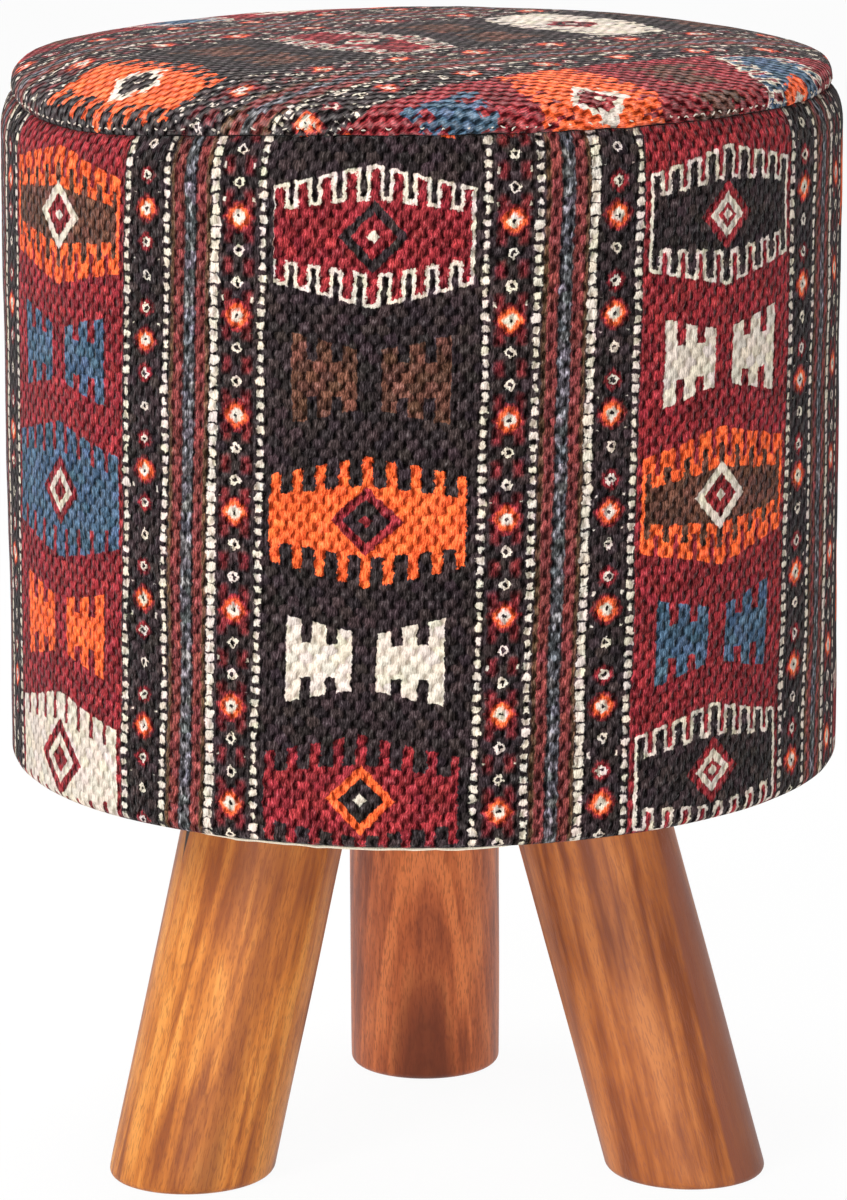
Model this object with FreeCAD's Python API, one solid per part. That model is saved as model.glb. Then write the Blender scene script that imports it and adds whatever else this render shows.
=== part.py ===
"""Round kilim stool: an upholstered drum seat on three splayed legs of solid wood.

Millimetres. +Z is up, the origin is on the floor under the middle of the seat, and the front faces -Y.
The drum is a timber frame (two boards, six battens and a bent wall), padded with foam and covered by a
side band and a top panel that are sewn together. The legs are bolted up into the lower board.
"""

import FreeCAD, Part
import math
import os

from FreeCAD import Vector

# Seat outline, measured over the cover
seat_diameter = 300.0
seam_height = 243.4          # folded hem up to the sewn seam between side band and top panel
hem_corner_radius = 6.0      # roll of the side band under the lower edge
shoulder_height = 13.0       # the side leans in to the seam over this height
shoulder_draw = 4.9          # how far the seam is drawn in from the side
top_edge_radius = 6.0        # roll of the top panel just above the seam
top_bulge_height = 3.1       # widest point of that roll above the seam
crown_edge_angle = 15.0      # slope of the crown where it meets the rolled edge, degrees
crown_flat_radius = 75.0     # the middle of the crown, which is nearly flat
crown_flat_angle = 1.1       # slope of the crown at that radius, degrees

# Cloth and padding
cover_thickness = 2.0
hem_width = 26.0             # flat part of the side band turned under the base board
cloth_thickness = 0.8        # calico that closes the underside
cloth_margin = 1.5           # flat hem left bare outside the edge of the calico
cloth_step_width = 3.0       # the calico steps down over the hem in this width
side_foam_thickness = 8.0
seat_foam_side_height = 5.0  # straight side of the seat foam, below the shoulder
thread_diameter = 1.6        # line of stitches lying in the seam
soft_gap = 0.3               # room left between a soft layer and what it wraps

# Timber frame inside the drum
wall_thickness = 4.0
wall_joint_gap = 1.0         # butt joint of the bent sheet, on the rear batten
base_board_thickness = 15.0
top_board_thickness = 12.0
batten_count = 6
batten_width = 30.0
batten_depth = 20.0
wood_gap = 0.2               # clearance between the wall and the boards or battens

# Legs: each one is shaped and drilled by hand, so the three differ a little
leg_height = 148.0           # floor up to the calico that the leg ends press against
leg_inset = 89.0             # side of the seat in to the middle of the leg tops
front_left_angle = 210.0
front_left_lean_angle = 14.1
front_left_diameter = 58.6
front_right_angle = 333.5
front_right_lean_angle = 16.8
front_right_diameter = 55.8
rear_angle = 90.0
rear_lean_angle = 10.7
rear_diameter = 56.8
foot_edge_radius = 3.0
leg_top_edge_radius = 1.0

# Hanger bolts and tee nuts that hold the legs
bolt_diameter = 8.0
bolt_length_in_leg = 34.0
bolt_tip_length = 6.0
bolt_end_projection = 4.5    # bolt end standing above the tee nut
bolt_end_chamfer = 1.0
tee_nut_barrel_diameter = 10.4
tee_nut_barrel_short = 4.0   # the barrel stops this far above the underside of the base board
tee_nut_flange_diameter = 22.0
tee_nut_flange_thickness = 1.6
tee_nut_prong_count = 4
tee_nut_prong_length = 7.0
tee_nut_prong_width = 2.4
hole_clearance = 0.1         # radial room round bolts and barrels

# Small fasteners
screw_diameter = 4.0
screw_head_diameter = 8.0
screw_head_height = 2.4
screw_grip = 24.0            # length of a screw in the batten
screw_tip_length = 5.0
tack_shank_diameter = 1.8
tack_head_diameter = 5.0
tack_head_thickness = 1.0
tack_head_sink = 0.2         # heads are driven just below the face of the wall
tack_grip = 12.0             # length of a tack in the batten
tack_tip_length = 2.5
tack_end_distance = 22.0     # from the ends of a batten to its tacks
staples_per_bay = 3          # staples in each row from one batten to the next
staple_width = 10.0
staple_wire = 0.8
staple_leg_length = 8.0
cloth_staple_proud = 0.4     # how far the staples of the calico stand out of it

# Levels worked out from the sizes above
board_bottom = leg_height + cloth_thickness
hem_bottom = board_bottom - cover_thickness
rim_bottom = hem_bottom - cloth_thickness
seam_level = hem_bottom + seam_height
top_board_top = seam_level - shoulder_height - seat_foam_side_height
top_board_bottom = top_board_top - top_board_thickness
base_board_top = board_bottom + base_board_thickness
bolt_length_above_leg = base_board_top + tee_nut_flange_thickness + bolt_end_projection - leg_height

# Radii worked out from the sizes above
seat_radius = seat_diameter / 2
wall_outer = seat_radius - cover_thickness - side_foam_thickness
wall_inner = wall_outer - wall_thickness
board_radius = wall_inner - wood_gap
batten_middle = board_radius - batten_depth / 2
hem_outer = seat_radius - hem_corner_radius
hem_inner = hem_outer - hem_width
cloth_radius = hem_outer - cloth_margin
leg_circle_radius = seat_radius - leg_inset
staple_row_pitch = (board_radius - hem_inner) / 3

legs = (
    ("front_left", front_left_angle, front_left_lean_angle, front_left_diameter),
    ("front_right", front_right_angle, front_right_lean_angle, front_right_diameter),
    ("rear", rear_angle, rear_lean_angle, rear_diameter),
)
bay_angle = 360 / batten_count
batten_angles = [90 + bay_angle * k for k in range(batten_count)]
staple_angles = [
    start + bay_angle * (k + 0.5) / staples_per_bay for start in batten_angles for k in range(staples_per_bay)
]
up = Vector(0, 0, 1)


def polar(radius, degrees, z):
    """Point at a radius and a direction round the seat's axis."""
    angle = math.radians(degrees)
    return Vector(radius * math.cos(angle), radius * math.sin(angle), z)


def ray(degrees):
    """Unit vector at an angle in the XZ plane, where the outlines are drawn."""
    return Vector(math.cos(math.radians(degrees)), 0, math.sin(math.radians(degrees)))


def line(start, end):
    return Part.LineSegment(start, end).toShape()


def arc(centre, radius, start, end):
    """Arc in the XZ plane between two angles in degrees, snapped to the axis where it meets it."""
    points = [centre + ray(angle) * radius for angle in (start, (start + end) / 2, end)]
    for point in points:
        point.x = 0.0 if abs(point.x) < 1e-9 else point.x
    return Part.Arc(*points).toShape()


def spin(edges):
    """Solid made by turning a closed outline round the seat's axis."""
    face = Part.Face(Part.Wire(Part.__sortEdges__(edges)))
    return face.revolve(Vector(0, 0, 0), up, 360)


def spin_points(points, place=Vector(0, 0, 0), direction=up):
    """Solid turned from a closed polygon of (radius, height) points, set on an axis."""
    corners = [Vector(r, 0, z) for r, z in points]
    solid = Part.Face(Part.makePolygon(corners + corners[:1])).revolve(Vector(0, 0, 0), up, 360)
    solid.Placement = FreeCAD.Placement(place, FreeCAD.Rotation(up, direction))
    return solid


def disc(radius, bottom, thickness):
    return Part.makeCylinder(radius, thickness, Vector(0, 0, bottom))


def block(depth, width, height, place, degrees):
    """Upright box standing on place: depth along a direction round the axis, width across it."""
    box = Part.makeBox(depth, width, height, Vector(-depth / 2, -width / 2, 0))
    box.Placement = FreeCAD.Placement(place, FreeCAD.Rotation(up, degrees))
    return box


class SeatOutline:
    """Half section of the upholstered seat, moved inwards by an inset, as edges in the XZ plane."""

    def __init__(self, inset):
        self.side_x = seat_radius - inset
        self.hem_level = hem_bottom + inset
        corner = Vector(hem_outer, 0, hem_bottom + hem_corner_radius)
        self.hem_end = Vector(hem_outer, 0, self.hem_level)
        self.corner = arc(corner, hem_corner_radius - inset, -90, 0)
        self.corner_top = Vector(self.side_x, 0, corner.z)

        shoulder_radius = (shoulder_draw**2 + shoulder_height**2) / (2 * shoulder_draw)
        shoulder = Vector(seat_radius - shoulder_radius, 0, seam_level - shoulder_height)
        shoulder_end = math.degrees(math.atan2(shoulder_height, shoulder_radius - shoulder_draw))
        self.shoulder_foot = Vector(self.side_x, 0, shoulder.z)
        self.side = line(self.corner_top, self.shoulder_foot)
        self.shoulder = arc(shoulder, shoulder_radius - inset, 0, shoulder_end)

        # The top panel's rolled edge, then two flatter arcs, each tangent to the one before
        self.seam = Vector(seat_radius - shoulder_draw, 0, seam_level)
        edge_start = -math.degrees(math.asin(top_bulge_height / top_edge_radius))
        edge_end = 90 - crown_edge_angle
        edge = self.seam - ray(edge_start) * top_edge_radius
        crown_start = 90 - crown_flat_angle
        roll_width = edge.x + top_edge_radius * ray(edge_end).x - crown_flat_radius
        roll_radius = roll_width / (ray(edge_end).x - ray(crown_start).x)
        roll = edge + ray(edge_end) * (top_edge_radius - roll_radius)
        crown_radius = roll_radius + roll.x / ray(crown_start).x
        crown = roll + ray(crown_start) * (roll_radius - crown_radius)
        self.top = Vector(0, 0, crown.z + crown_radius - inset)
        self.crown_edges = [
            arc(edge, top_edge_radius - inset, edge_start, edge_end),
            arc(roll, roll_radius - inset, edge_end, crown_start),
            arc(crown, crown_radius - inset, crown_start, 90),
        ]

        # The valley of the seam: its direction, half its opening, and the inset's arcs round it
        self.valley_direction = (shoulder_end + edge_start) / 2
        self.valley_half_opening = (180 + edge_start - shoulder_end) / 2
        self.seam_inner = self.seam - Vector(inset, 0, 0)
        if inset:
            self.seam_below = arc(self.seam, inset, 180 + shoulder_end, 180)
            self.seam_above = arc(self.seam, inset, 180, 180 + edge_start)


outer = SeatOutline(0)
lining = SeatOutline(cover_thickness)
padding = SeatOutline(cover_thickness + soft_gap)


def make_side_cover():
    """Kilim side band: hem under the board, round corner, straight side and shoulder up to the seam."""
    hem_low = Vector(hem_inner, 0, outer.hem_level)
    hem_high = Vector(hem_inner, 0, lining.hem_level)
    band = spin([
        line(hem_low, outer.hem_end), outer.corner, outer.side, outer.shoulder,
        line(outer.seam, lining.seam_inner),
        lining.seam_below, lining.shoulder, lining.side, lining.corner,
        line(lining.hem_end, hem_high), line(hem_high, hem_low),
    ])
    return band.cut(make_hem_staples() + make_base_cloth_staples())


def make_top_cover():
    """Kilim top panel: rolled edge and low crown, sewn to the side band along the seam."""
    closing = [line(outer.top, lining.top), lining.seam_above, line(lining.seam_inner, outer.seam)]
    return spin(outer.crown_edges + closing + lining.crown_edges)


def make_seam_thread():
    """Line of stitches lying in the valley between the two panels, touching both."""
    radius = thread_diameter / 2
    reach = radius / math.sin(math.radians(outer.valley_half_opening))
    middle = outer.seam + ray(outer.valley_direction) * reach
    return Part.makeTorus(middle.x, radius, Vector(0, 0, middle.z))


def make_seat_foam():
    """Foam pad on the top board, crowned and drawn in at the seam like the cover over it."""
    middle = Vector(0, 0, top_board_top)
    rim = Vector(padding.side_x, 0, top_board_top)
    sides = [line(middle, rim), line(rim, padding.shoulder_foot), padding.shoulder]
    seam = [padding.seam_below, padding.seam_above]
    return spin(sides + seam + padding.crown_edges + [line(padding.top, middle)])


def make_side_foam():
    """Foam sheet wrapped round the drum wall, rounded at its lower edge."""
    low, high = Vector(0, 0, padding.hem_level), Vector(0, 0, top_board_top)
    rim = Vector(padding.side_x, 0, top_board_top)
    outline = [line(low, padding.hem_end), padding.corner, line(padding.corner_top, rim)]
    whole = spin(outline + [line(rim, high), line(high, low)])
    return whole.cut(disc(wall_outer + soft_gap, padding.hem_level, top_board_top - padding.hem_level))


def make_base_cloth():
    """Calico that closes the underside: flat on the board, stepping down over the hem."""
    step_end = hem_inner - soft_gap
    step_start = step_end - cloth_step_width
    low, high = rim_bottom, hem_bottom
    cloth = spin_points([
        (0, leg_height), (step_start, leg_height), (step_end, low), (cloth_radius, low),
        (cloth_radius, high), (step_end, high), (step_start, board_bottom), (0, board_bottom),
    ])
    holes = [
        Part.makeCylinder(
            bolt_diameter / 2 + hole_clearance, cloth_thickness, polar(leg_circle_radius, degrees, leg_height)
        )
        for _, degrees, _, _ in legs
    ]
    return cloth.cut(holes + make_base_cloth_staples())


def make_leg(degrees, lean, diameter):
    """Round leg, cut level at the floor and at the seat, with the blind hole for its hanger bolt."""
    lean_angle = math.radians(lean)
    axis = polar(math.sin(lean_angle), degrees, -math.cos(lean_angle))
    top = polar(leg_circle_radius, degrees, leg_height)
    length = leg_height / math.cos(lean_angle)
    stick = Part.makeCylinder(diameter / 2, length + 2 * diameter, top - axis * diameter, axis)
    reach = leg_circle_radius + leg_height * math.tan(lean_angle) + diameter
    leg = stick.common(disc(reach, 0, leg_height))
    for level, radius in ((0, foot_edge_radius), (leg_height, leg_top_edge_radius)):
        rim = [e for e in leg.Edges if abs(e.BoundBox.ZMin - level) + abs(e.BoundBox.ZMax - level) < 1e-3]
        leg = leg.makeFillet(radius, rim)
    return leg.cut(make_hanger_bolt(degrees, hole_clearance))


def make_hanger_bolt(degrees, grow=0.0):
    """Hanger bolt standing in the leg top; grow makes the hole that it sits in."""
    radius = bolt_diameter / 2 + grow
    tip = -bolt_length_in_leg - grow
    end = bolt_length_above_leg
    return spin_points([
        (0, tip), (radius, tip + bolt_tip_length), (radius, end - bolt_end_chamfer),
        (radius - bolt_end_chamfer, end), (0, end),
    ], polar(leg_circle_radius, degrees, leg_height))


def make_tee_nut(degrees):
    """Tee nut driven into the base board from inside: threaded barrel, flange and bent prongs."""
    bore = bolt_diameter / 2 + hole_clearance
    barrel, flange = tee_nut_barrel_diameter / 2, tee_nut_flange_diameter / 2
    thickness = tee_nut_flange_thickness
    barrel_end = tee_nut_barrel_short - base_board_thickness
    nut = spin_points([
        (bore, barrel_end), (barrel, barrel_end), (barrel, 0),
        (flange, 0), (flange, thickness), (bore, thickness),
    ])
    prong_section = Part.Face(Part.makePolygon([
        Vector(flange - thickness, -tee_nut_prong_width / 2, 0), Vector(flange, -tee_nut_prong_width / 2, 0),
        Vector(flange, -tee_nut_prong_width / 2, -tee_nut_prong_length),
        Vector(flange - thickness, -tee_nut_prong_width / 2, 0),
    ]))
    rim = disc(flange, -tee_nut_prong_length, tee_nut_prong_length)
    for k in range(tee_nut_prong_count):
        prong = prong_section.extrude(Vector(0, tee_nut_prong_width, 0)).common(rim)
        prong.rotate(Vector(0, 0, 0), up, 360 / tee_nut_prong_count * k)
        nut = nut.fuse(prong)
    nut = nut.removeSplitter()
    nut.translate(polar(leg_circle_radius, degrees, base_board_top))
    return nut


def make_screw(place, direction, length):
    """Countersunk wood screw with its flat head at place, driven along a direction."""
    head, shank = screw_head_diameter / 2, screw_diameter / 2
    return spin_points([
        (0, 0), (head, 0), (shank, screw_head_height), (shank, length - screw_tip_length), (0, length),
    ], place, direction)


def make_top_board_screws():
    """Screws down through the top board into the ends of the battens."""
    length = top_board_thickness + screw_grip
    return [make_screw(polar(batten_middle, a, top_board_top), -up, length) for a in batten_angles]


def make_base_board_screws():
    """Screws up through the base board into the ends of the battens."""
    length = base_board_thickness + screw_grip
    return [make_screw(polar(batten_middle, a, board_bottom), up, length) for a in batten_angles]


def make_wall_tacks():
    """Flat-headed tacks through the bent wall, a pair near each end of every batten."""
    shank, head = tack_shank_diameter / 2, tack_head_diameter / 2
    length = wall_thickness + tack_grip
    beside = math.degrees(batten_width / 4 / wall_outer)
    return [
        spin_points([
            (0, 0), (head, 0), (head, tack_head_thickness), (shank, tack_head_thickness),
            (shank, length - tack_tip_length), (0, length),
        ], polar(wall_outer - tack_head_sink, turn, level), polar(-1, turn, 0))
        for degrees in batten_angles
        for level in (base_board_top + tack_end_distance, top_board_bottom - tack_end_distance)
        for turn in (degrees - beside, degrees + beside)
    ]


def make_staple(radius, degrees, level):
    """Staple driven upwards, its crown lying across the radius at level."""
    place = polar(radius, degrees, level)
    crown = block(staple_wire, staple_width, staple_wire, place, degrees)
    across = polar((staple_width - staple_wire) / 2, degrees + 90, 0)
    points = [
        block(staple_wire, staple_wire, staple_leg_length, place + offset, degrees)
        for offset in (across, -across)
    ]
    return crown.fuse(points).removeSplitter()


def make_hem_staples():
    """Staples that fix the hem of the side band under the base board, sunk flush into the cloth."""
    return [make_staple(hem_inner + staple_row_pitch, a, hem_bottom) for a in staple_angles]


def make_base_cloth_staples():
    """Staples that fix the calico over the hem."""
    level = rim_bottom - cloth_staple_proud
    return [make_staple(hem_inner + 2 * staple_row_pitch, a, level) for a in staple_angles]


def make_base_board():
    """Plywood disc that carries the legs, with tee nut holes and screw holes."""
    board = disc(board_radius, board_bottom, base_board_thickness)
    for _, degrees, _, _ in legs:
        place = polar(leg_circle_radius, degrees, board_bottom)
        hole = Part.makeCylinder(tee_nut_barrel_diameter / 2 + hole_clearance, base_board_thickness, place)
        board = board.cut([hole, make_tee_nut(degrees)])
    return board.cut(make_base_board_screws() + make_hem_staples() + make_base_cloth_staples())


def make_top_board():
    return disc(board_radius, top_board_bottom, top_board_thickness).cut(make_top_board_screws())


def make_batten(degrees):
    """Upright batten between the boards, its outer face shaved to the curve of the wall."""
    height = top_board_bottom - base_board_top
    place = polar(batten_middle, degrees, base_board_top)
    post = block(batten_depth, batten_width, height, place, degrees)
    post = post.common(disc(board_radius, base_board_top, height))
    return post.cut(make_top_board_screws() + make_base_board_screws() + make_wall_tacks())


def make_drum_wall():
    """Thin plywood bent into a hoop round the boards and battens, butted on the rear batten."""
    height = top_board_top - board_bottom
    hoop = disc(wall_outer, board_bottom, height).cut(disc(wall_inner, board_bottom, height))
    place = polar((wall_outer + wall_inner) / 2, batten_angles[0], board_bottom)
    joint = block(2 * wall_thickness, wall_joint_gap, height, place, batten_angles[0])
    return hoop.cut([joint] + make_wall_tacks())


def make_nodes():
    """Every node of the stool with its solid, or its group of separate solids."""
    nodes = {
        "side_cover": make_side_cover(),
        "top_cover": make_top_cover(),
        "seam_thread": make_seam_thread(),
        "seat_foam": make_seat_foam(),
        "side_foam": make_side_foam(),
        "base_cloth": make_base_cloth(),
        "drum_wall": make_drum_wall(),
        "top_board": make_top_board(),
        "base_board": make_base_board(),
        "top_board_screws": Part.makeCompound(make_top_board_screws()),
        "base_board_screws": Part.makeCompound(make_base_board_screws()),
        "wall_tacks": Part.makeCompound(make_wall_tacks()),
        "hem_staples": Part.makeCompound(make_hem_staples()),
        "base_cloth_staples": Part.makeCompound(make_base_cloth_staples()),
    }
    for number, degrees in enumerate(batten_angles, start=1):
        nodes[f"batten_{number}"] = make_batten(degrees)
    for name, degrees, lean, diameter in legs:
        nodes[f"{name}_leg"] = make_leg(degrees, lean, diameter)
        nodes[f"{name}_hanger_bolt"] = make_hanger_bolt(degrees)
        nodes[f"{name}_tee_nut"] = make_tee_nut(degrees)
    return nodes


def main():
    os.makedirs("parts", exist_ok=True)
    for name, shape in make_nodes().items():
        shape.exportStep(f"parts/{name}.step")
        state = "" if shape.isValid() else ", not valid"
        print(f"{name}: {len(shape.Solids)} solid(s), {shape.Volume / 1000:.1f} cm3{state}")
    print(f"overall height {outer.top.z:.1f} mm, seam at {seam_level:.1f} mm")


main()
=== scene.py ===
"""Kilim stool: a padded drum seat in printed kilim cloth on three splayed legs of lacquered wood.

The covers, their stitches, the calico, the foam and the legs are modelled here around the fixed frame.
Boards, battens, wall and fasteners keep their own shape and get their finish here.
Geometry is in metres with +Z up and the front at -Y; the print on the cloth is drawn in millimetres.
"""

import math
from functools import partialmethod
from itertools import accumulate
from typing import NamedTuple

import bmesh
import bpy
from bpy.props import FloatProperty, FloatVectorProperty, IntProperty, PointerProperty
from mathutils import Matrix, Vector, noise


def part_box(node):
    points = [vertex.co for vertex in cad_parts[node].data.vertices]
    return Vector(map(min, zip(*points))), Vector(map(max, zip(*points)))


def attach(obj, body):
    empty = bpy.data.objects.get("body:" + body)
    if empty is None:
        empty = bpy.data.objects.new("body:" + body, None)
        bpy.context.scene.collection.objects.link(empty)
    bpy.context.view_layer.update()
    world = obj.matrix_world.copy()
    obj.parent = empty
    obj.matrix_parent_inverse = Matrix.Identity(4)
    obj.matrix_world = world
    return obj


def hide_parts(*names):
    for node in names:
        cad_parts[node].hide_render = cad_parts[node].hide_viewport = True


bl_info = {
    "name": "Kilim stool",
    "version": (1, 0, 0),
    "blender": (4, 5, 0),
    "location": "View3D > Sidebar > Stool",
    "description": "Covers, legs and finishes of a round kilim stool",
    "category": "Object",
}

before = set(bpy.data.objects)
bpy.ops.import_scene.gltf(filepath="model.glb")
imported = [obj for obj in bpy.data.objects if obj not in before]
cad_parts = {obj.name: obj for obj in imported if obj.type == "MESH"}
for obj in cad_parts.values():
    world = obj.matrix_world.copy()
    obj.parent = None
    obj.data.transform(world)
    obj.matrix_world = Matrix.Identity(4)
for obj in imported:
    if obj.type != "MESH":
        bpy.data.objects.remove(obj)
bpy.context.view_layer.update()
band_low, band_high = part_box("side_cover")
_, top_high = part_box("top_cover")
calico_low, calico_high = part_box("base_cloth")
seat_foam_low, seat_foam_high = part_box("seat_foam")
side_foam_low, side_foam_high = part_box("side_foam")
_, wall_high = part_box("drum_wall")
_, leg_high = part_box("rear_leg")

CLOTH_MAP = "cloth"
BODY = "root"
MILLIMETRE = 0.001
QUARTER = math.pi / 2
ROUND_STEPS = 480
WHITE = (1, 1, 1, 1)


def printed(red, green, blue):
    """Linear colour of an 8-bit screen colour."""
    def linear(channel):
        share = channel / 255
        return share / 12.92 if share <= 0.04045 else ((share + 0.055) / 1.055) ** 2.4
    return (linear(red), linear(green), linear(blue))


def opaque(colour, strength=1.0):
    """The colour with a full alpha, as a colour socket takes it."""
    return (*[channel * strength for channel in colour], 1.0)


def tint(red, green, blue):
    """Socket colour of an 8-bit screen colour."""
    return opaque(printed(red, green, blue))


def grey(level):
    """Socket colour of an even grey."""
    return (level, level, level, 1)


def length(name, description, default):
    """A length property in metres."""
    return FloatProperty(name=name, description=description, default=default, unit="LENGTH", precision=4)


def angle(name, description, degrees):
    """An angle property."""
    return FloatProperty(name=name, description=description, default=math.radians(degrees), subtype="ANGLE")


def number(name, description, default):
    """A property without a unit of its own."""
    return FloatProperty(name=name, description=description, default=default)


def millimetres(name, description, default):
    """A length on the flat cloth, in millimetres."""
    return number(name, description + ", in millimetres", default)


def paint(name, description, red, green, blue):
    """A colour property, given as a screen colour."""
    return FloatVectorProperty(
        name=name, description=description, default=printed(red, green, blue), subtype="COLOR", min=0, max=1)


class SeatSettings(bpy.types.PropertyGroup):
    """Sizes of the upholstered seat."""

    corner_reach: length("Corner reach", "How far the side band rolls in under the drum", 0.003)
    corner_height: length("Corner height", "Height of the roll at the lower edge", 0.004)
    hem_width: length("Hem width", "Flat part of the side band under the drum", 0.026)
    shoulder_height: length("Shoulder height", "The side leans in to the seam over this height", 0.013)
    seam_draw: length("Seam draw", "How far the seam is drawn in from the side", 0.0049)
    valley_depth: length("Valley depth", "How deep the cloth dives into the seam", 0.0026)
    seam_sag: length("Seam sag", "How far the seam sags at its lowest", 0.006)
    seam_sag_turn: angle("Seam sag place", "Where it sags, from the front towards the right", -56)
    seam_sag_spread: angle("Seam sag spread", "How wide the sag is", 20)
    top_edge_radius: length("Top edge radius", "Roll of the top panel above the seam", 0.0063)
    top_bulge_height: length("Top bulge height", "Widest point of that roll above the seam", 0.0031)
    crown_edge_angle: angle("Crown edge angle", "Slope of the crown where it meets the rolled edge", 14.2)
    crown_flat_radius: length("Crown flat radius", "Nearly flat middle of the crown", 0.095)
    crown_flat_angle: angle("Crown flat angle", "Slope of the crown at that radius", 1.9)
    cloth_thickness: length("Cloth thickness", "Thickness of the kilim cloth", 0.0018)
    padding_swell: length("Padding swell", "Unevenness of the padding under the cloth", 0.0009)
    pucker_depth: length("Pucker depth", "Small gathers of the cloth along the seam", 0.0005)
    stitch_count: IntProperty(name="Stitches", description="Stitches round the seam", default=238, min=12)
    stitch_length: length("Stitch length", "Length of a stitch", 0.0023)
    stitch_width: length("Stitch width", "Thickness of the sewing thread", 0.0006)


class PrintSettings(bpy.types.PropertyGroup):
    """Layout and colours of the kilim print."""

    half_repeat: millimetres("Half repeat", "Middle of a black panel to the middle of a red one", 130.8)
    black_middle: millimetres("Black panel", "Middle of the front black panel from the front line", -22.2)
    panel_half_width: millimetres("Panel half width", "Middle of a panel to its beaded line", 38.2)
    column_width: millimetres("Column width", "Flower column between two beaded lines", 17.5)
    row_pitch: millimetres("Row pitch", "One row of motifs to the next in a panel", 48.3)
    first_row: millimetres("First row", "Height of the lowest medallions", 17.0)
    flower_pitch: millimetres("Flower pitch", "One flower to the next in a column", 11.25)
    flower_start: millimetres("Flower start", "Height of one of the orange flowers", 215.4)
    bead_pitch: millimetres("Bead pitch", "One bead to the next in a beaded line", 3.95)
    float_width: millimetres("Float width", "One yarn float to the next along a row", 2.7)
    float_height: millimetres("Float height", "One row of yarn floats to the next", 3.22)
    lean: number("Lean", "Sideways lean of the stripes per height", 0.0285)
    black: paint("Black", "Charcoal ground", 55, 46, 47)
    red: paint("Red", "Madder red ground", 142, 48, 53)
    orange: paint("Orange", "Orange motifs", 255, 110, 60)
    blue: paint("Blue", "Indigo motifs", 78, 101, 124)
    cream: paint("Cream", "Undyed motifs and beads", 226, 213, 198)
    brown: paint("Brown", "Walnut motifs", 101, 67, 56)
    wine: paint("Wine", "Dark red stripes", 126, 63, 61)
    olive: paint("Olive", "Brown edge of the stripes", 92, 68, 52)
    slate: paint("Slate", "Blue-grey stripe", 91, 89, 93)


class LegSettings(bpy.types.PropertyGroup):
    """Sizes of the three legs, which were shaped by hand and differ a little."""

    circle_radius: length("Leg circle", "Middle of the seat to the middle of a leg's top", 0.061)
    foot_edge_radius: length("Foot edge radius", "Rounding of the foot", 0.003)
    top_edge_radius: length("Top edge radius", "Rounding of the leg's top", 0.001)
    unevenness: length("Unevenness", "Small waves left by hand sanding", 0.0003)


class StageSettings(bpy.types.PropertyGroup):
    """Camera, lamps and floor."""

    camera_distance: length("Camera distance", "Camera to the point that it looks at", 2.0374)
    camera_aim: length("Camera aim", "Height of the point that the camera looks at", 0.201)
    camera_pitch: angle("Camera pitch", "How far the camera looks down", 12.31)
    camera_roll: angle("Camera roll", "Small tilt of the camera", -0.22)
    lens: number("Lens", "Focal length of the lens, in millimetres", 168.02)
    floor_size: length("Floor size", "Side of the floor", 16.0)
    key_power: number("Key power", "Power of the main lamp in watts", 52)
    fill_power: number("Fill power", "Power of the second lamp in watts", 29)
    overhead_power: number("Overhead power", "Power of the lamp above the seat in watts", 33)
    sky: number("Sky", "Strength of the even light from all round", 0.42)


class Term:
    """One output of a shader node; arithmetic on it adds Math nodes to the same tree."""

    def __init__(self, tree, output):
        self.tree = tree
        self.output = output

    def apply(self, operation, *others, clamp=False):
        """A Math node on this term and up to two other values."""
        settings = {"operation": operation, "use_clamp": clamp}
        return self.tree.node("ShaderNodeMath", settings, dict(enumerate((self, *others))))

    __add__ = __radd__ = partialmethod(apply, "ADD")
    __sub__ = partialmethod(apply, "SUBTRACT")
    __mul__ = __rmul__ = partialmethod(apply, "MULTIPLY")
    __truediv__ = partialmethod(apply, "DIVIDE")
    __pow__ = partialmethod(apply, "POWER")
    __mod__ = partialmethod(apply, "FLOORED_MODULO")
    __gt__ = partialmethod(apply, "GREATER_THAN")
    __lt__ = partialmethod(apply, "LESS_THAN")
    __abs__ = partialmethod(apply, "ABSOLUTE")
    __round__ = partialmethod(apply, "ROUND")
    __floor__ = partialmethod(apply, "FLOOR")
    __trunc__ = partialmethod(apply, "TRUNC")
    least = partialmethod(apply, "MINIMUM")
    most = partialmethod(apply, "MAXIMUM")
    smooth_least = partialmethod(apply, "SMOOTH_MIN")
    smooth_most = partialmethod(apply, "SMOOTH_MAX")
    times_plus = partialmethod(apply, "MULTIPLY_ADD")
    sine = partialmethod(apply, "SINE")
    cosine = partialmethod(apply, "COSINE")
    sign = partialmethod(apply, "SIGN")

    def __rsub__(self, other):
        return self.times_plus(-1, other)

    def inside(self, softness):
        """A mask that is 1 where the term is above zero, with a soft edge of that width."""
        return self.apply("MULTIPLY_ADD", 1 / softness, 0.5, clamp=True)

    def also(self, name):
        """Another output of the same node."""
        return Term(self.tree, self.output.node.outputs[name])


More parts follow.
